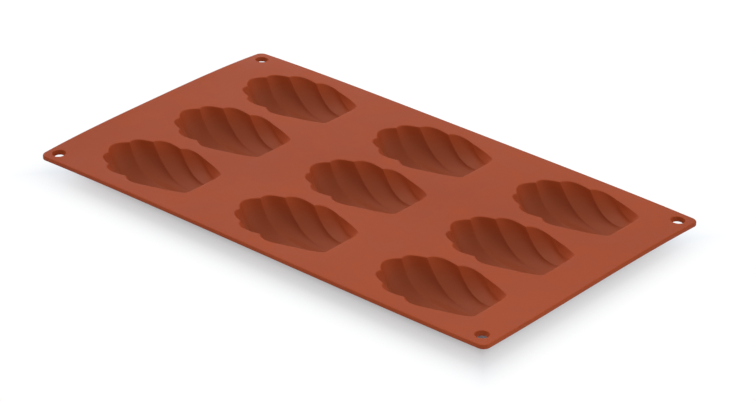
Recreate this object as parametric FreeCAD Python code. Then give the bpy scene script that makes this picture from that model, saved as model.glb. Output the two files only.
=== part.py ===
import FreeCAD, Part
import os

# Silicone madeleine mould: one flexible sheet with nine fluted shell cups moulded into it.
# X runs along the long side, Y across, +Z up. The cups rest on Z = 0. All sizes in mm.

# Shell cup: its size at the top face, and its depth
cup_length = 67.0
cup_width = 45.2
cup_depth = 17.5
cup_wall = 1.3
hinge_width = 25.0
hinge_corner = 2.1

# How the cups are set out, and the plain border around them
columns = 3
rows = 3
gap_x = 27.4
gap_y = 7.9
border_x = 22.1
border_y = 9.3

# Sheet
sheet_thickness = 2.4
corner_radius = 4.0
edge_chamfer = 0.5

# Hanging hole in each corner
hole_diameter = 7.2
hole_inset = 7.2

# Flats that the cups stand on are taken off their undersides
foot_flat = 0.6

# Flutes: where each ridge between two flutes leaves the hinge end, as a share of its half width,
# where it meets the rim, as shares of half the cup's length and half its width, and how deep it
# runs along the floor, as a share of the depth. The first ridge is the one next to the long side
ridge_hinge_shares = [0.78, 0.66, 0.41, 0.14]
ridge_rim_shares = [(0.41, 0.85), (-0.09, 0.875), (-0.573, 0.702), (-0.862, 0.30)]
ridge_floor_shares = [0.27, 0.58, 0.865, 0.915]
# How steeply a ridge climbs: a power at the hinge end and one at the scalloped rim
ridge_climb_powers = [(2.3, 4.0), (2.4, 2.3), (2.6, 2.4), (3.0, 4.8)]
# The flutes from one long side to the other, by their place in the next two lists, how far each
# bulges beyond the straight line between its ridges at the rim, and how fast that grows
flute_kinds = [0, 1, 2, 3, 4, 3, 2, 1, 0]
flute_bulge = [0.6, 2.9, 3.1, 3.1, 4.3]
bulge_growth_powers = [1.0, 1.5, 1.6, 1.8, 3.0]
# How far the flutes lean out towards the long sides, as a share of their width
flute_lean = 0.22
# The point over the floor that every flute bulges away from
core_x = 8.0
core_height = 4.0

# Stations along the flutes, from the straight hinge end at 0 to the scalloped rim at 1
stations = [0.0, 0.05, 0.14, 0.28, 0.50, 0.72, 0.87, 0.95, 1.0]
# Long side of the rim at each station: share of half the length, how much of the hinge corner
# is rounded off there, and share of the way from the hinge's half width to the cup's
side_rim_shares = [
    (1.000, 1.0, 0.0), (0.994, 0.5, 0.0), (0.955, 0.0, 0.050), (0.872, 0.0, 0.190), (0.740, 0.0, 0.368),
    (0.613, 0.0, 0.510), (0.535, 0.0, 0.589), (0.500, 0.0, 0.624), (0.480, 0.0, 0.644),
]

# Flat facets across each kind of flute, inside and outside
inner_steps = [1, 3, 4, 4, 4]
outer_steps = [1, 3, 3, 3, 3]

# Worked out from the sizes above
pitch_x = cup_length + gap_x
pitch_y = cup_width + gap_y
sheet_length = columns * cup_length + (columns - 1) * gap_x + 2 * border_x
sheet_width = rows * cup_width + (rows - 1) * gap_y + 2 * border_y
top_z = cup_depth + cup_wall - foot_flat


def vec(x, y, z=0.0):
    return FreeCAD.Vector(x, y, z)


def unit(v):
    size = v.Length
    return v * (1.0 / size) if size > 1e-9 else v


def ridge_depth(u, index):
    """Depth of a ridge at station u: it drops from the hinge end, runs level and climbs to the rim."""
    power = ridge_climb_powers[index][0 if u < 0.5 else 1]
    return cup_depth * ridge_floor_shares[index] * (1.0 - abs(1.0 - 2.0 * u) ** power)


def ridge_line(index, side):
    """Ridge 0 is next to the long side, ridge 3 next to the middle flute. side is 1 or -1."""
    hinge_y = hinge_width / 2 * ridge_hinge_shares[index]
    rim_x = ridge_rim_shares[index][0] * cup_length / 2
    rim_y = ridge_rim_shares[index][1] * cup_width / 2
    line = []
    for u in stations:
        x = cup_length / 2 + (rim_x - cup_length / 2) * u
        y = hinge_y + (rim_y - hinge_y) * u
        line.append(vec(x, side * y, -ridge_depth(u, index)))
    return line


def side_line(side):
    """The rim along one long side, level with the top face."""
    line = []
    for along, corner, spread in side_rim_shares:
        y = hinge_width / 2 - hinge_corner * corner + (cup_width - hinge_width) / 2 * spread
        line.append(vec(along * cup_length / 2, side * y))
    return line


def flute_normal(left, right, i):
    """Outward normal of the flute between two ridges at one station."""
    last = len(stations) - 1
    if i == 0:
        return vec(1, 0)
    chord = right[i] - left[i]
    if i == last:
        flat = unit(vec(-chord.y, chord.x))
        middle = (left[i] + right[i]) * 0.5
        return flat if flat.dot(middle - vec(core_x, 0)) > 0 else flat * -1.0
    along = (left[i + 1] + right[i + 1]) * 0.5 - (left[i - 1] + right[i - 1]) * 0.5
    normal = unit(chord.cross(along))
    middle = (left[i] + right[i]) * 0.5
    return normal if normal.dot(middle - vec(core_x, 0, core_height)) > 0 else normal * -1.0


def shell_sections(wall):
    """Sections across all the flutes, one per station. wall moves them out by the cup's wall."""
    ridges = len(ridge_rim_shares)
    lines = [side_line(1)] + [ridge_line(index, 1) for index in range(ridges)]
    lines += [ridge_line(index, -1) for index in reversed(range(ridges))] + [side_line(-1)]
    flutes = range(len(flute_kinds))
    sections = []
    for i, u in enumerate(stations):
        normals = [flute_normal(lines[k], lines[k + 1], i) for k in flutes]
        ends = [lines[0][i] + side_normal(lines[0], i) * wall]
        for k in flutes[1:]:
            ends.append(lines[k][i] + unit(normals[k - 1] + normals[k]) * wall)
        ends.append(lines[-1][i] + side_normal(lines[-1], i) * wall)
        tops = []
        for k in flutes:
            middle = (lines[k][i] + lines[k + 1][i]) * 0.5
            bulge = flute_bulge[flute_kinds[k]] * u ** bulge_growth_powers[flute_kinds[k]]
            tops.append(middle + normals[k] * (bulge + wall))
        sections.append((ends, tops))
    return sections


def side_normal(line, i):
    """Level outward normal of the rim along a long side."""
    last = len(line) - 1
    step = line[min(i + 1, last)] - line[max(i - 1, 0)]
    flat = unit(vec(-step.y, step.x))
    outward = vec(0.3, 1.0 if line[i].y > 0 else -1.0)
    return flat if flat.dot(outward) > 0 else flat * -1.0


def bow(a, top, b, lean, t):
    """Point on the bowed line from a over top to b, leaning towards b, or towards a if lean is below 0."""
    pull = top * 2.0 - (a + b) * 0.5 + (b - a) * lean
    return a * (1 - t) ** 2 + pull * (2 * t * (1 - t)) + b * t ** 2


def section_points(ends, tops, steps):
    points = []
    middle = len(flute_kinds) // 2
    for k, kind in enumerate(flute_kinds):
        lean = flute_lean * ((k > middle) - (k < middle))
        for j in range(steps[kind]):
            points.append(bow(ends[k], tops[k], ends[k + 1], lean, j / float(steps[kind])))
    return points + [ends[-1]]


def triangle(a, b, c):
    return Part.Face(Part.makePolygon([a, b, c, a]))


def shell_skin(wall, steps):
    """Flat facets over the flutes, and the rim they leave in the top face."""
    grid = [section_points(ends, tops, steps) for ends, tops in shell_sections(wall)]
    faces = []
    for low, high in zip(grid, grid[1:]):
        for j in range(len(low) - 1):
            a, b, c, d = low[j], low[j + 1], high[j + 1], high[j]
            if (a - c).Length < (b - d).Length:
                faces += [triangle(a, b, c), triangle(a, c, d)]
            else:
                faces += [triangle(a, b, d), triangle(b, c, d)]
    near = [row[0] for row in grid]
    loop = grid[0] + [row[-1] for row in grid[1:]] + list(reversed(grid[-1]))[1:] + near[-2:0:-1]
    rim = Part.makePolygon(loop + [loop[0]])
    return faces, rim


def solid_from(faces):
    shell = Part.Shell(faces)
    shell.sewShape()
    solid = Part.Solid(shell)
    if solid.Volume < 0:
        solid.reverse()
    return solid


def level_at(face, z):
    box = face.BoundBox
    return abs(box.ZMin - z) < 1e-5 and abs(box.ZMax - z) < 1e-5


def cup_outside():
    """Underside of one cup below the sheet, with flats to stand on, and where it meets the sheet."""
    faces, rim = shell_skin(cup_wall, outer_steps)
    block = solid_from(faces + [Part.Face(rim)])
    height = top_z - sheet_thickness
    keep = Part.makeBox(2 * cup_length, 2 * cup_width, height, vec(-cup_length, -cup_width, -top_z))
    block = block.common(keep)
    seat = [f for f in block.Faces if level_at(f, -sheet_thickness)]
    rest = [f for f in block.Faces if not level_at(f, -sheet_thickness)]
    return rest, seat[0].OuterWire


def cup_places():
    places = []
    for column in range(columns):
        for row in range(rows):
            x = (column - (columns - 1) / 2.0) * pitch_x
            y = (row - (rows - 1) / 2.0) * pitch_y
            places.append(vec(x, y, top_z))
    return places


def plain_sheet():
    """The sheet with rounded corners, softened edges and its four corner holes."""
    box = Part.makeBox(sheet_length, sheet_width, sheet_thickness)
    box.translate(vec(-sheet_length / 2, -sheet_width / 2, top_z - sheet_thickness))
    upright = [e for e in box.Edges if abs(e.tangentAt(e.FirstParameter).z) > 0.9]
    sheet = box.makeFillet(corner_radius, upright)
    rims = [e for e in sheet.Edges if e.BoundBox.ZMax - e.BoundBox.ZMin < 1e-6]
    sheet = sheet.makeChamfer(edge_chamfer, rims)
    return sheet.cut(corner_holes())


def corner_holes():
    tools = []
    for sx in (-1, 1):
        for sy in (-1, 1):
            x = sx * (sheet_length / 2 - hole_inset)
            y = sy * (sheet_width / 2 - hole_inset)
            base = vec(x, y, top_z - sheet_thickness - 1)
            tools.append(Part.makeCylinder(hole_diameter / 2, sheet_thickness + 2, base))
    return tools


def pierced(face, wires):
    return Part.makeFace([Part.Wire(w.Edges) for w in face.Wires] + wires, "Part::FaceMakerBullseye")


def build():
    inside, rim = shell_skin(0.0, inner_steps)
    outside, seat = cup_outside()
    sheet = plain_sheet()
    faces = []
    for face in sheet.Faces:
        if level_at(face, top_z):
            faces += pierced(face, [rim.translated(p) for p in cup_places()]).Faces
        elif level_at(face, top_z - sheet_thickness):
            faces += pierced(face, [seat.translated(p) for p in cup_places()]).Faces
        else:
            faces.append(face)
    for place in cup_places():
        faces += [f.translated(place) for f in inside + outside]
    return solid_from(faces)


mould = build()
print("closed", mould.isClosed(), "valid", mould.isValid(), "faces", len(mould.Faces), mould.Volume, mould.BoundBox)
os.makedirs("parts", exist_ok=True)
mould.exportStep("parts/mould.step")
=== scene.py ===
import bmesh
import bpy
import math
import numpy as np
from mathutils import Matrix, Vector
from mathutils.geometry import delaunay_2d_cdt


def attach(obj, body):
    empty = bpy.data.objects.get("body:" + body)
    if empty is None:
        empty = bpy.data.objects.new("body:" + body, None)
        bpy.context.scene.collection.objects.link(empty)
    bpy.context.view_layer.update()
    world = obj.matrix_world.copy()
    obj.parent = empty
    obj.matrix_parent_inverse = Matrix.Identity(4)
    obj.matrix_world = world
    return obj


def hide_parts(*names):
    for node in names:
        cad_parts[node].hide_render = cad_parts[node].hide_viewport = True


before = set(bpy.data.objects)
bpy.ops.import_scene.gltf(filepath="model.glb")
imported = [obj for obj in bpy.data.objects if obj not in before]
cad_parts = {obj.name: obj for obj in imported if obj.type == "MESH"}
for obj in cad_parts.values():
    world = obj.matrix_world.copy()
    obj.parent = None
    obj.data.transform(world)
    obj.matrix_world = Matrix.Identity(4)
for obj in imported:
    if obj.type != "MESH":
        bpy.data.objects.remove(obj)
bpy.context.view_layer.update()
print("frame loaded")

scene = bpy.context.scene


# Shader helpers: nodes by kind, and a socket with arithmetic

class Nodes:  # the nodes of one material or world

    def __init__(self, owner):
        owner.use_nodes = True
        self.tree = owner.node_tree
        self.tree.nodes.clear()

    # sockets go by name or number, and take a number, a colour or a link
    def add(self, kind, settings, sockets, output=0):
        made = self.tree.nodes.new("ShaderNode" + kind)
        for name, value in settings.items():
            if name == "stops":
                self.setRamp(made.color_ramp.elements, value)
            else:
                setattr(made, name, value)
        for name, value in sockets.items():
            slot = made.inputs[name]
            if isinstance(value, Sock):
                self.tree.links.new(value.socket, slot)
            elif slot.type == "RGBA":
                slot.default_value = (*value, 1.0)
            else:
                slot.default_value = value
        return Sock(self, made.outputs[output]) if made.outputs else made

    def setRamp(self, elements, stops):  # each stop is a place from 0 to 1 and a grey
        for place, _ in stops[1:-1]:
            elements.new(place)
        for element, (place, grey) in zip(elements, stops):
            element.position = place
            element.color = (grey, grey, grey, 1.0)


class Sock:  # a node's output, whose sums and products add Math nodes

    def __init__(self, nodes, socket):
        self.nodes = nodes
        self.socket = socket

    def math(self, operation, first, second=0.0):
        return self.nodes.add("Math", {"operation": operation}, {0: first, 1: second})

    def __add__(self, other):
        return self.math("ADD", self, other)

    def __radd__(self, other):
        return self.math("ADD", other, self)

    def __sub__(self, other):
        return self.math("SUBTRACT", self, other)

    def __rsub__(self, other):
        return self.math("SUBTRACT", other, self)

    def __mul__(self, other):
        return self.math("MULTIPLY", self, other)

    def __rmul__(self, other):
        return self.math("MULTIPLY", other, self)

    def __pow__(self, other):
        return self.math("POWER", self, other)

    def __abs__(self):
        return self.math("ABSOLUTE", self)

    def atLeast(self, other):
        return self.math("MAXIMUM", self, other)

    def atMost(self, other):
        return self.math("MINIMUM", self, other)

    def span(self, low, high, toLow=0.0, toHigh=1.0):  # maps low..high to toLow..toHigh, clamped
        sockets = {0: self, 1: low, 2: high, 3: toLow, 4: toHigh}
        return self.nodes.add("MapRange", {"clamp": True}, sockets)

    def blend(self, first, second):  # colours: first where this is 0, second where it is 1
        return self.nodes.add("Mix", {"data_type": "RGBA"}, {0: self, 6: first, 7: second}, 2)


# The mould: sizes in mm. X runs along the sheet towards the hinge ends, Z is 0 at the top face
# until the whole piece is set on its cups

mould = {
    "length": 300.0,
    "width": 170.0,
    "top": 18.2,              # height of the top face over the floor
    "sheet": 2.4,
    "corner": 4.0,
    "edge": 0.55,             # rounding of the sheet's edges

    "hole": 3.6,              # radius at the top
    "holeDraft": 0.9,         # how much narrower it is at the underside
    "holeInset": 7.2,
    "holeLip": 0.3,
    "holeShift": {(1, -1): (-1.3, 1.5), (-1, 1): (0.8, -0.9), (1, 1): (-0.4, -0.3)},  # by corner

    "pitch": (94.4, 53.1),
    "cupLength": 67.0,
    "cupWidth": 45.9,
    "cupDepth": 17.5,
    "wall": 1.1,
    "hinge": 26.6,            # width of the straight end
    "hingeCorner": 2.1,
    "rimLip": 0.25,           # how far the rim rolls into the top face
    "rimEven": 0.9,           # and the distance over which its direction is evened out
    "rootFillet": 1.0,        # the same two for the cup's outside and the underside
    "rootEven": 2.0,
    "crease": 0.2,            # rounding of the crests between flutes
    "sideCrease": 1.8,        # how much rounder they are next to the long sides

    # ridges from the long side to the middle: where each leaves the hinge end and meets the rim,
    # as shares of the half sizes, how deep it runs, and how steeply it climbs at either end
    "ridges": (
        {"hinge": 0.78, "rim": (0.42, 0.874), "floor": 0.27, "climb": (2.3, 4.0)},
        {"hinge": 0.66, "rim": (-0.10, 0.872), "floor": 0.58, "climb": (2.4, 2.3)},
        {"hinge": 0.41, "rim": (-0.595, 0.713), "floor": 0.865, "climb": (2.6, 2.4)},
        {"hinge": 0.14, "rim": (-0.86, 0.335), "floor": 0.915, "climb": (3.0, 4.8)},
    ),
    # flutes across the cup, by kind, and each kind's bulge in mm with the power that it grows by
    "flutes": (0, 1, 2, 3, 4, 3, 2, 1, 0),
    "bulges": ((0.2, 1.0), (2.75, 1.5), (3.35, 1.6), (2.9, 1.8), (4.6, 3.0)),
    "fluteLean": 0.22,        # over the floor the flutes lean out towards the long sides
    "rimLean": -0.30,         # and at the rim the scallops lean towards the tip
    "core": (8.0, 0.0, 4.0),  # every flute bulges away from here

    # long side of the rim: the station, its place along the half length, how much of the hinge
    # corner is cut there, and how much of the widening is done
    "sideRim": (
        (0.0, 1.0, 1.0, 0.0), (0.05, 0.994, 0.5, 0.0), (0.14, 0.955, 0, 0.050),
        (0.28, 0.872, 0, 0.190), (0.50, 0.740, 0, 0.368), (0.72, 0.613, 0, 0.510),
        (0.87, 0.535, 0, 0.589), (0.95, 0.500, 0, 0.624), (1.0, 0.480, 0, 0.644),
    ),

    # stations along the flutes, close together at both rims, and places across one flute
    "rimStations": (
        0, .0006, .002, .004, .007, .011, .016, .023, .032, .044, .058, .075, .095, .12, .15, .18, .22,
    ),
    "innerAcross": (0, .02, .05, .10, .18, .28, .39, .5, .61, .72, .82, .90, .95, .98, 1),
    "outerAcross": (0, .06, .16, .32, .5, .68, .84, .94, 1),

    # the outsides of the cups draw in downwards, to stay out of sight under the near edge
    "tuckFrom": 31.2,
    "tuckSlope": 0.705,
    "tuckSoftness": 0.2,

    # soft silicone lies off level: rise of each corner, lift of the left end, and how much
    # further out the far right corner lies
    "cornerRise": {(1, 1): -1.2, (-1, 1): -1.6, (1, -1): 0.9, (-1, -1): -1.2},
    "leftRise": 0.9,
    "rightReach": 1.2,

    # mesh: spacing of points in the top face and the underside, how far guide points lie from each
    # kind of rim, and the distance in m under which points are joined
    "spacing": (5.0, 7.0),
    "guide": {"edge": 0.8, "rim": 0.7, "root": 0.8, "hole": 0.6},
    "weld": 4e-6,
}


def unit(v):
    return v / np.maximum(np.linalg.norm(v, axis=-1, keepdims=True), 1e-9)


def smoothLine(knots, values, at):  # natural cubic spline through values, read at the places at
    n = len(knots)
    h = np.diff(knots)
    a = np.zeros((n, n))
    r = np.zeros(n)
    a[0, 0] = a[-1, -1] = 1.0
    for i in range(1, n - 1):
        a[i, i - 1:i + 2] = h[i - 1], 2 * (h[i - 1] + h[i]), h[i]
        r[i] = 6 * ((values[i + 1] - values[i]) / h[i] - (values[i] - values[i - 1]) / h[i - 1])
    m = np.linalg.solve(a, r)
    i = np.clip(np.searchsorted(knots, at) - 1, 0, n - 2)
    p, q = knots[i + 1] - at, at - knots[i]
    flat = (values[i] / h[i] - m[i] * h[i] / 6) * p + (values[i + 1] / h[i] - m[i + 1] * h[i] / 6) * q
    return flat + (m[i] * p ** 3 + m[i + 1] * q ** 3) / (6 * h[i])


def ridgeLine(u, ridge, side):  # from the hinge end (u 0) down, along the floor and up to the rim (u 1)
    d = mould
    power = np.where(u < 0.5, *ridge["climb"])
    depth = d["cupDepth"] * ridge["floor"] * (1 - np.abs(1 - 2 * u) ** power)
    hingeY = d["hinge"] / 2 * ridge["hinge"]
    rimX, rimY = ridge["rim"]
    x = d["cupLength"] / 2 * (1 + (rimX - 1) * u)
    y = hingeY + (rimY * d["cupWidth"] / 2 - hingeY) * u
    return np.stack([x, side * y, -depth], -1)


def sideLine(u, side):  # the rim along one long side, level with the top face
    d = mould
    knots, along, corner, spread = np.array(d["sideRim"]).T
    across = d["hinge"] / 2 - d["hingeCorner"] * corner + (d["cupWidth"] - d["hinge"]) / 2 * spread
    x = smoothLine(knots, along, u) * d["cupLength"] / 2
    return np.stack([x, side * smoothLine(knots, across, u), 0 * u], -1)


def fluteNormal(left, right, u):  # outward between two ridges, level where it meets the rim
    core = np.array(mould["core"])
    middle = (left + right) / 2
    n = unit(np.cross(right - left, np.gradient(middle, u, axis=0)))
    n = n * np.sign((n * (middle - core)).sum(-1, keepdims=True))
    chord = right[-1] - left[-1]
    flat = unit(np.array([-chord[1], chord[0], 0.0]))
    flat = flat * np.sign(flat @ (middle[-1] - core))
    inCup = np.clip((1 - u) / 0.10, 0, 1)[:, None] ** 0.7
    n = n * inCup + flat * (1 - inCup)
    n[0] = (1.0, 0.0, 0.0)
    return unit(n)


def sideNormal(line, side):  # level, away from the cup
    step = np.gradient(line, axis=0)
    out = unit(np.stack([-step[:, 1], step[:, 0], 0 * step[:, 0]], -1))
    return out * np.sign(out[:, 1:2] * side + out[:, :1] * 0.3)


def fluteGrid(u, v, wall):  # rows from the hinge end to the scallops, columns across the flutes
    d = mould
    lines = [sideLine(u, 1)] + [ridgeLine(u, ridge, 1) for ridge in d["ridges"]]
    lines += [ridgeLine(u, ridge, -1) for ridge in reversed(d["ridges"])] + [sideLine(u, -1)]
    last = len(d["flutes"]) - 1
    normals = [fluteNormal(lines[k], lines[k + 1], u) for k in range(last + 1)]
    outs = [sideNormal(lines[0], 1)]
    outs += [unit(normals[k] + normals[k + 1]) for k in range(last)]
    outs.append(sideNormal(lines[-1], -1))
    ends = [line + out * wall for line, out in zip(lines, outs)]
    strips = []
    for k, kind in enumerate(d["flutes"]):
        bulge, power = d["bulges"][kind]
        swell = bulge * u ** power
        crown = (lines[k] + lines[k + 1]) / 2 + normals[k] * (swell[:, None] + wall)
        lean = (d["fluteLean"] + (d["rimLean"] - d["fluteLean"]) * u ** 8) * np.sign(k - len(d["flutes"]) // 2)
        a, b = ends[k][:, None], ends[k + 1][:, None]
        pull = (crown * 2 - (ends[k] + ends[k + 1]) / 2 + (ends[k + 1] - ends[k]) * lean[:, None])[:, None]
        t = (v if k == last else v[:-1])[None, :, None]
        strips.append(a * (1 - t) ** 2 + pull * 2 * t * (1 - t) + b * t ** 2)
    return softenCrests(np.concatenate(strips, 1), len(v) - 1)


def softenCrests(grid, perFlute):  # rounds the crests between flutes, more next to the long sides
    columns = grid.shape[1]
    at = np.arange(columns)
    outer = np.minimum(np.abs(at - perFlute), np.abs(at - (columns - 1 - perFlute)))
    radius = mould["crease"] * (1 + mould["sideCrease"] * np.exp(-(outer / 4.0) ** 2))
    step = np.linalg.norm(np.diff(grid, axis=1), axis=-1)
    along = np.concatenate([np.zeros((len(grid), 1)), np.cumsum(step, 1)], 1)
    share = np.gradient(along, axis=1) + 1e-6
    gap = (along[:, :, None] - along[:, None, :]) / radius[None, :, None]
    edge = np.minimum(along, along[:, -1:] - along)[:, :, None] / radius[None, :, None]
    weight = np.exp(-(gap / np.clip(edge, 0.05, 1)) ** 2) * share[:, None, :]
    soft = np.einsum("rij,rjc->ric", weight / weight.sum(-1, keepdims=True), grid)
    soft[:, 0], soft[:, -1] = grid[:, 0], grid[:, -1]
    soft[0] = grid[0]
    return soft


def rimLoop(grid):  # row and column numbers of the grid's border, once round
    r, c = grid.shape[:2]
    loop = [(0, j) for j in range(c)] + [(i, c - 1) for i in range(1, r)]
    return loop + [(r - 1, j) for j in range(c - 2, -1, -1)] + [(i, 0) for i in range(r - 2, 0, -1)]


def rimPoints(grid):
    return np.array([grid[i, j] for i, j in rimLoop(grid)])


def loopNormals(points, reach):  # outward level normals round a closed loop, evened out over reach
    step = np.roll(points, -1, 0) - np.roll(points, 1, 0)
    n = unit(np.stack([step[:, 1], -step[:, 0]], -1))
    area = (points[:, 0] * np.roll(points[:, 1], -1) - points[:, 1] * np.roll(points[:, 0], -1)).sum()
    n = n if area > 0 else -n
    gap = np.linalg.norm(points[:, None] - points[None], axis=-1)
    weight = np.exp(-(gap / reach) ** 2) * (np.linalg.norm(step, axis=-1)[None] + 1e-3)
    return unit(weight @ n)


def rollRim(grid, radius, reach, level):  # rolls the wall outwards where it meets the face at level
    border = rimPoints(grid)[:, :2]
    normals = loopNormals(border, reach)
    flat = grid.reshape(-1, 3)
    drop = level - flat[:, 2]
    near = drop < radius
    nearest = np.linalg.norm(flat[near][:, None, :2] - border[None], axis=-1).argmin(1)
    rise = np.clip(1 - drop[near] / radius, 0, 1)
    push = radius * (1 - np.sqrt(np.clip(1 - rise ** 2, 0, 1)))
    flat[near, :2] += normals[nearest] * push[:, None]
    return normals


class Skin:  # points and faces of the mould, collected in mm

    def __init__(self):
        self.points = []
        self.faces = []
        self.count = 0

    def add(self, points, faces):
        self.points.append(np.asarray(points, float))
        self.faces += [tuple(int(i) + self.count for i in f) for f in faces]
        self.count += len(points)

    def addGrid(self, grid):
        r, c = grid.shape[:2]
        i, j = np.meshgrid(np.arange(r - 1), np.arange(c - 1), indexing="ij")
        a = (i * c + j).ravel()
        self.add(grid.reshape(-1, 3), np.stack([a, a + 1, a + c + 1, a + c], -1))

    def addRings(self, rings):  # joins closed loops of equal length, one to the next
        n = len(rings[0])
        faces = []
        for k in range(len(rings) - 1):
            for i in range(n):
                j = (i + 1) % n
                faces.append((k * n + i, k * n + j, (k + 1) * n + j, (k + 1) * n + i))
        self.add(np.concatenate(rings), faces)

    # fills a level face between its border and its holes, with inner points for the sag
    def addLevel(self, z, border, holes, guides, spacing):
        points, edges = [], []
        for loop in [border, *holes, *guides]:
            start, n = len(points), len(loop)
            points.extend(loop[:, :2].tolist())
            edges.extend((start + i, start + (i + 1) % n) for i in range(n))
        taken = np.array(points)
        xs = np.arange(-mould["length"] / 2 + spacing, mould["length"] / 2, spacing)
        ys = np.arange(-mould["width"] / 2 + spacing, mould["width"] / 2, spacing)
        free = np.array([(x, y) for x in xs for y in ys])
        free = free[inFace(free, border, holes)]
        gap = np.array([np.hypot(*(taken - p).T).min() for p in free])
        points.extend(free[gap > spacing * 0.45].tolist())
        verts, _, faces, *_ = delaunay_2d_cdt([Vector(p) for p in points], edges, [], 1, 1e-5)
        verts = np.array([tuple(p) for p in verts])
        faces = np.array([f for f in faces if len(f) == 3])
        keep = inFace(verts[faces].mean(1), border, holes)
        self.add(np.column_stack([verts, np.full(len(verts), z)]), faces[keep])


def inside(points, loop):  # which points lie inside a closed loop
    x, y = points[:, 0], points[:, 1]
    hit = np.zeros(len(points), bool)
    for (ax, ay), (bx, by) in zip(loop, np.roll(loop, -1, 0)):
        if ay != by:
            hit ^= ((ay > y) != (by > y)) & (x < (bx - ax) * (y - ay) / (by - ay) + ax)
    return hit


def inFace(points, border, holes):
    keep = inside(points, border[:, :2])
    for loop in holes:
        keep &= ~inside(points, loop[:, :2])
    return keep


def sheetOutline(step=6.0, turns=10):  # rounded rectangle, counter-clockwise
    d = mould
    radius = d["corner"]
    loop = []
    for sx, sy, start in ((1, -1, -90), (1, 1, 0), (-1, 1, 90), (-1, -1, 180)):
        cx, cy = sx * (d["length"] / 2 - radius), sy * (d["width"] / 2 - radius)
        for i in range(turns + 1):
            a = math.radians(start + 90 * i / turns)
            loop.append((cx + radius * math.cos(a), cy + radius * math.sin(a)))
    full = []
    for p, q in zip(loop, loop[1:] + loop[:1]):
        full.append(p)
        n = int(math.dist(p, q) // step)
        for k in range(1, n + 1):
            full.append((p[0] + (q[0] - p[0]) * k / (n + 1), p[1] + (q[1] - p[1]) * k / (n + 1)))
    return np.array(full)


def shrink(loop, by):  # the sheet's outline moved in by a distance, point for point
    corner = mould["corner"]
    core = np.array([mould["length"] / 2 - corner, mould["width"] / 2 - corner])
    centre = np.clip(loop, -core, core)
    return centre + (loop - centre) * (corner - by) / corner


def atHeight(loop, z):
    return np.column_stack([loop[:, :2], np.full(len(loop), z)])


def quarter(steps):  # angles from 0 to 90 degrees
    return [math.radians(90 / steps * i) for i in range(steps + 1)]


def sheetEdge(outline):  # rings down the rounded side of the sheet
    e, under = mould["edge"], -mould["sheet"]
    rings = [atHeight(shrink(outline, e - e * math.cos(a)), -e + e * math.sin(a)) for a in reversed(quarter(6))]
    return rings + [atHeight(shrink(outline, e - e * math.cos(a)), under + e - e * math.sin(a)) for a in quarter(6)]


def holeTube():  # radius and height down the wall of a hole
    lip, under = mould["holeLip"], -mould["sheet"]
    low = mould["hole"] - mould["holeDraft"]
    tube = [(mould["hole"] + lip * (1 - math.sin(a)), -lip + lip * math.cos(a)) for a in quarter(5)]
    return tube + [(low + lip * (1 - math.sin(a)), under + lip - lip * math.cos(a)) for a in reversed(quarter(5))]


def cupInside():
    ends = np.array(mould["rimStations"])
    u = np.concatenate([ends, np.linspace(0.26, 0.74, 17), 1 - ends[::-1]])
    grid = fluteGrid(u, np.array(mould["innerAcross"]), 0.0)
    return grid, rollRim(grid, mould["rimLip"], mould["rimEven"], 0.0)


def cupOutside():  # reaches from the sheet's underside down to the floor
    d = mould
    under = -d["sheet"]
    ends = np.array(d["rimStations"])
    u = np.concatenate([ends[::2], np.linspace(0.28, 0.72, 10), 1 - ends[::-2]])
    grid = fluteGrid(u, np.array(d["outerAcross"]), d["wall"])
    deepest = -grid[..., 2].min()
    grid[..., 2] = under + grid[..., 2] * (deepest - d["sheet"]) / deepest
    normals = rollRim(grid, d["rootFillet"], d["rootEven"], under)
    grid[..., 2] = np.maximum(grid[..., 2], -d["top"])
    limit = d["tuckFrom"] + (grid[..., 2] + d["sheet"]) / d["tuckSlope"]
    y = np.abs(grid[..., 1])
    tucked = 0.5 * (limit + y - np.sqrt((limit - y) ** 2 + d["tuckSoftness"]))    # the smaller, softly
    grid[..., 1] = np.sign(grid[..., 1]) * np.clip(tucked, 0, None)
    return grid, normals


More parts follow.
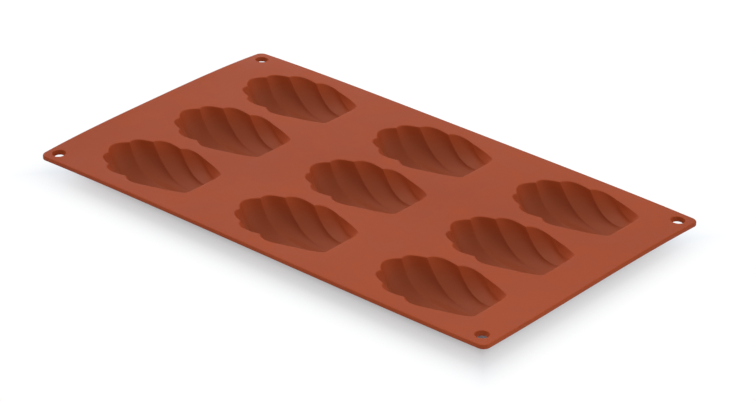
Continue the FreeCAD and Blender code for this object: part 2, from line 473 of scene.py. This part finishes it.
def buildMould():
    d = mould
    skin = Skin()
    outline = sheetOutline()
    rings = sheetEdge(outline)
    skin.addRings(rings)
    guide = d["guide"]
    edgeGuide = shrink(outline, d["edge"] + guide["edge"])
    topHoles, topGuides, underHoles, underGuides = [], [edgeGuide], [], [edgeGuide]

    turn = np.linspace(0, 2 * math.pi, 49)[:-1]
    circle = np.stack([np.cos(turn), np.sin(turn)], -1)
    tube = holeTube()
    inner, innerOut = cupInside()
    outer, outerOut = cupOutside()
    for i in (-1, 0, 1):
        for j in (-1, 0, 1):
            at = np.array([i * d["pitch"][0], j * d["pitch"][1], 0.0])
            skin.addGrid(inner + at)
            skin.addGrid(outer + at)
            topHoles.append(rimPoints(inner) + at)
            topGuides.append(topHoles[-1][::2, :2] + innerOut[::2] * guide["rim"])
            underHoles.append(rimPoints(outer) + at)
            underGuides.append(underHoles[-1][::2, :2] + outerOut[::2] * guide["root"])
    for sx in (-1, 1):
        for sy in (-1, 1):
            shift = d["holeShift"].get((sx, sy), (0.0, 0.0))
            x = sx * (d["length"] / 2 - d["holeInset"]) + shift[0]
            y = sy * (d["width"] / 2 - d["holeInset"]) + shift[1]
            loops = [atHeight(circle * r + (x, y), z) for r, z in tube]
            skin.addRings(loops)
            topHoles.append(loops[0])
            underHoles.append(loops[-1])
            for guides in (topGuides, underGuides):
                guides.append(circle * (tube[0][0] + guide["hole"]) + (x, y))
    skin.addLevel(0.0, rings[0], topHoles, topGuides, d["spacing"][0])
    skin.addLevel(-d["sheet"], rings[-1], underHoles, underGuides, d["spacing"][1])

    points = np.concatenate(skin.points) + (0, 0, d["top"])
    mesh = bpy.data.meshes.new("silicone_mould")
    mesh.from_pydata((points / 1000).tolist(), [], skin.faces)
    made = bpy.data.objects.new("silicone_mould", mesh)
    scene.collection.objects.link(made)
    weld(mesh)
    sag(mesh)
    mesh.polygons.foreach_set("use_smooth", [True] * len(mesh.polygons))
    return made


def weld(mesh):
    b = bmesh.new()
    b.from_mesh(mesh)
    bmesh.ops.remove_doubles(b, verts=b.verts, dist=mould["weld"])
    bmesh.ops.dissolve_degenerate(b, edges=b.edges, dist=1e-7)
    bmesh.ops.recalc_face_normals(b, faces=b.faces)
    loose = [e for e in b.edges if len(e.link_faces) != 2]
    print("mould faces", len(b.faces), "open edges", len(loose))
    b.to_mesh(mesh)
    b.free()


def sag(mesh):  # the sheet's free border lies a little off level
    d = mould
    p = np.zeros(len(mesh.vertices) * 3)
    mesh.vertices.foreach_get("co", p)
    p = p.reshape(-1, 3) * 1000
    x, y = p[:, 0] / (d["length"] / 2), p[:, 1] / (d["width"] / 2)
    rise = 0 * x
    for (sx, sy), height in d["cornerRise"].items():
        rise += height * ((x * sx > 0) & (y * sy > 0))
    rise *= np.abs(x) ** 4 * np.abs(y) ** 3
    rise += d["leftRise"] * np.clip(-x, 0, 1) ** 8 * (1 - np.abs(y) ** 3)
    p[:, 2] = np.maximum(p[:, 2] + rise, 0)
    p[:, 0] += d["rightReach"] * np.clip(x, 0, 1) ** 8 * (np.clip(y + 0.3, 0, 1.3) / 1.3) ** 2
    mesh.vertices.foreach_set("co", (p / 1000).ravel())
    mesh.update()


silicone = {
    # linear colours
    "body": (0.356, 0.0593, 0.0157),     # the moulded terracotta
    "pale": (0.380, 0.067, 0.0189),      # where the surface is slightly chalky
    "deep": (0.332, 0.0538, 0.0139),
    "inside": (0.318, 0.0700, 0.0270),   # painted shade: browner and darker down in the cups, standing in for their shading
    "cupShadeFrom": 0.016,                 # heights in m between which the painted shade comes in
    "cupShadeFull": 0.009,
    "fleck": (0.43, 0.10, 0.045),        # fine dust that silicone always carries
    "rough": (0.44, 0.56),
    "refraction": 1.43,
    "gloss": 0.09,
    "grain": 0.10,                       # strength of the fine bumps
    "grainDepth": 0.0001,
    # noise over the surface: scale, detail and roughness
    "broad": (9.0, 3.0, 0.5),
    "cloud": (60.0, 4.0, 0.6),
    "fine": (1500.0, 3.0, 0.6),
    "speckScale": 700.0,
}


def siliconeMaterial():
    d = silicone
    mat = bpy.data.materials.new("terracotta_silicone")
    nodes = Nodes(mat)
    place = nodes.add("TexCoord", {}, {}, "Object")

    def noise(scale, detail, roughness):
        return nodes.add("TexNoise", {}, {
            "Vector": place, "Scale": scale, "Detail": detail, "Roughness": roughness,
        })

    broad, cloud, grain = noise(*d["broad"]), noise(*d["cloud"]), noise(*d["fine"])
    specks = nodes.add("TexVoronoi", {}, {"Vector": place, "Scale": d["speckScale"]}, "Distance")
    height = nodes.add("SeparateXYZ", {}, {"Vector": place}, "Z")

    colour = (broad * 0.6 + cloud * 0.4).span(0.36, 0.50).blend(d["deep"], d["body"])
    colour = (broad * 0.5 + cloud * 0.5).span(0.50, 0.66).blend(colour, d["pale"])
    colour = specks.span(0.04, 0.12, 0.30, 0.0).blend(colour, d["fleck"])
    # painted shade: below the top face the cups turn to the darker, browner inside colour
    colour = height.span(d["cupShadeFrom"], d["cupShadeFull"]).blend(colour, d["inside"])
    rough = cloud.span(0.3, 0.7, *d["rough"]) + (grain - 0.5) * 0.10
    bump = nodes.add("Bump", {}, {
        "Strength": d["grain"], "Distance": d["grainDepth"], "Height": grain * 0.6 + cloud * 0.4,
    })
    shader = nodes.add("BsdfPrincipled", {}, {
        "Base Color": colour, "Roughness": rough, "IOR": d["refraction"], "Specular IOR Level": d["gloss"],
        "Normal": bump,
    })
    nodes.add("OutputMaterial", {}, {"Surface": shader})
    return mat


skinPiece = buildMould()
skinPiece.data.materials.append(siliconeMaterial())
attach(skinPiece, "root")
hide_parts("mould")
print("mould built")


# Floor, light and camera

studio = {
    "floorHalf": 4.0,                        # m
    "floorWhite": (0.75, 0.865, 0.98),
    "glow": 1.02,                            # white that the camera sees round the shadow
    "shadowMiddle": (-0.008, 0.009),         # m
    "shadowHalf": (0.158, 0.094),
    "shadowStretch": 1.157,                  # how much faster the shadow fades along X
    # how much of that white lies over the floor's shading, by the way out of the shadow in mm
    "fade": (
        (-28, 0.0), (-22, 0.32), (-17, 0.50), (-10, 0.62), (-6, 0.73),
        (-2, 0.81), (2, 0.885), (8, 0.96), (20, 1.0),
    ),
    # rings of broad soft lights: height in degrees, and strengths every 45 degrees round from +X
    "rings": (
        (12, (0.89, 1.19, 0, 1.56, 0.34, 0.97, 0, 0.51)),
        (42, (0.54, 0.74, 0, 0.41, 1.54, 0.60, 0, 0)),
        (75, (0, 0, 0, 0, 0.54, 0, 0.43, 0)),
    ),
    "tightness": 8.0,                        # of each light's glow
}

camera = {
    "lens": 136.6,
    "place": (0.85713, -0.98028, 0.70423),   # m
    "back": (0.57645, -0.66774, 0.47100),    # from what it looks at to the camera
    "right": (0.7552, 0.65548, 0.0050),
}


def buildFloor():
    d = studio
    s = d["floorHalf"]
    mesh = bpy.data.meshes.new("floor")
    mesh.from_pydata([(-s, -s, 0), (s, -s, 0), (s, s, 0), (-s, s, 0)], [], [(0, 1, 2, 3)])
    made = bpy.data.objects.new("floor", mesh)
    scene.collection.objects.link(made)
    mat = bpy.data.materials.new("floor_white")
    nodes = Nodes(mat)
    place = nodes.add("TexCoord", {}, {}, "Object")
    x = nodes.add("SeparateXYZ", {}, {"Vector": place}, "X")
    y = nodes.add("SeparateXYZ", {}, {"Vector": place}, "Y")
    dx = (abs(x - d["shadowMiddle"][0]) - d["shadowHalf"][0]) * d["shadowStretch"]
    dy = abs(y - d["shadowMiddle"][1]) - d["shadowHalf"][1]
    away = (dx.atLeast(0.0) ** 2 + dy.atLeast(0.0) ** 2) ** 0.5 + dx.atLeast(dy).atMost(0.0)
    low, high = d["fade"][0][0], d["fade"][-1][0]
    stops = [((at - low) / (high - low), grey) for at, grey in d["fade"]]
    fade = nodes.add("ValToRGB", {"stops": stops}, {0: away.span(low / 1000, high / 1000)})
    seen = nodes.add("LightPath", {}, {}, "Is Camera Ray")
    matt = nodes.add("BsdfDiffuse", {}, {"Color": d["floorWhite"]})
    glow = nodes.add("Emission", {}, {"Color": (1.0, 1.0, 1.0), "Strength": d["glow"]})
    mix = nodes.add("MixShader", {}, {0: seen * fade, 1: matt, 2: glow})
    nodes.add("OutputMaterial", {}, {"Surface": mix})
    mesh.materials.append(mat)


def buildWorld():  # white where the camera looks, and broad soft lights for the mould
    world = bpy.data.worlds.new("studio")
    scene.world = world
    nodes = Nodes(world)
    looking = nodes.add("TexCoord", {}, {}, "Generated")

    def softLight(around, height, strength):
        a, e = math.radians(around), math.radians(height)
        towards = (math.cos(e) * math.cos(a), math.cos(e) * math.sin(a), math.sin(e))
        facing = nodes.add("VectorMath", {"operation": "DOT_PRODUCT"}, {0: looking, 1: towards}, "Value")
        return facing.atLeast(0.0) ** studio["tightness"] * strength

    level = sum(
        softLight(45 * i, height, strength)
        for height, ring in studio["rings"] for i, strength in enumerate(ring) if strength
    )
    fill = nodes.add("Background", {}, {"Color": (1.0, 1.0, 1.0), "Strength": level})
    white = nodes.add("Background", {}, {"Color": (1.0, 1.0, 1.0), "Strength": 1.0})
    seen = nodes.add("LightPath", {}, {}, "Is Camera Ray")
    mix = nodes.add("MixShader", {}, {0: seen, 1: fill, 2: white})
    nodes.add("OutputWorld", {}, {"Surface": mix})


def buildCamera():
    data = bpy.data.cameras.new("camera")
    data.sensor_width = 36.0
    data.lens = camera["lens"]
    data.clip_start, data.clip_end = 0.05, 50.0
    made = bpy.data.objects.new("camera", data)
    back = Vector(camera["back"]).normalized()
    right = Vector(camera["right"])
    right = (right - back * right.dot(back)).normalized()
    turn = Matrix((right, back.cross(right), back)).transposed()
    made.matrix_world = Matrix.Translation(camera["place"]) @ turn.to_4x4()
    scene.collection.objects.link(made)
    scene.camera = made


buildFloor()
buildWorld()
buildCamera()
scene.view_settings.view_transform = "Standard"
print("stage set")
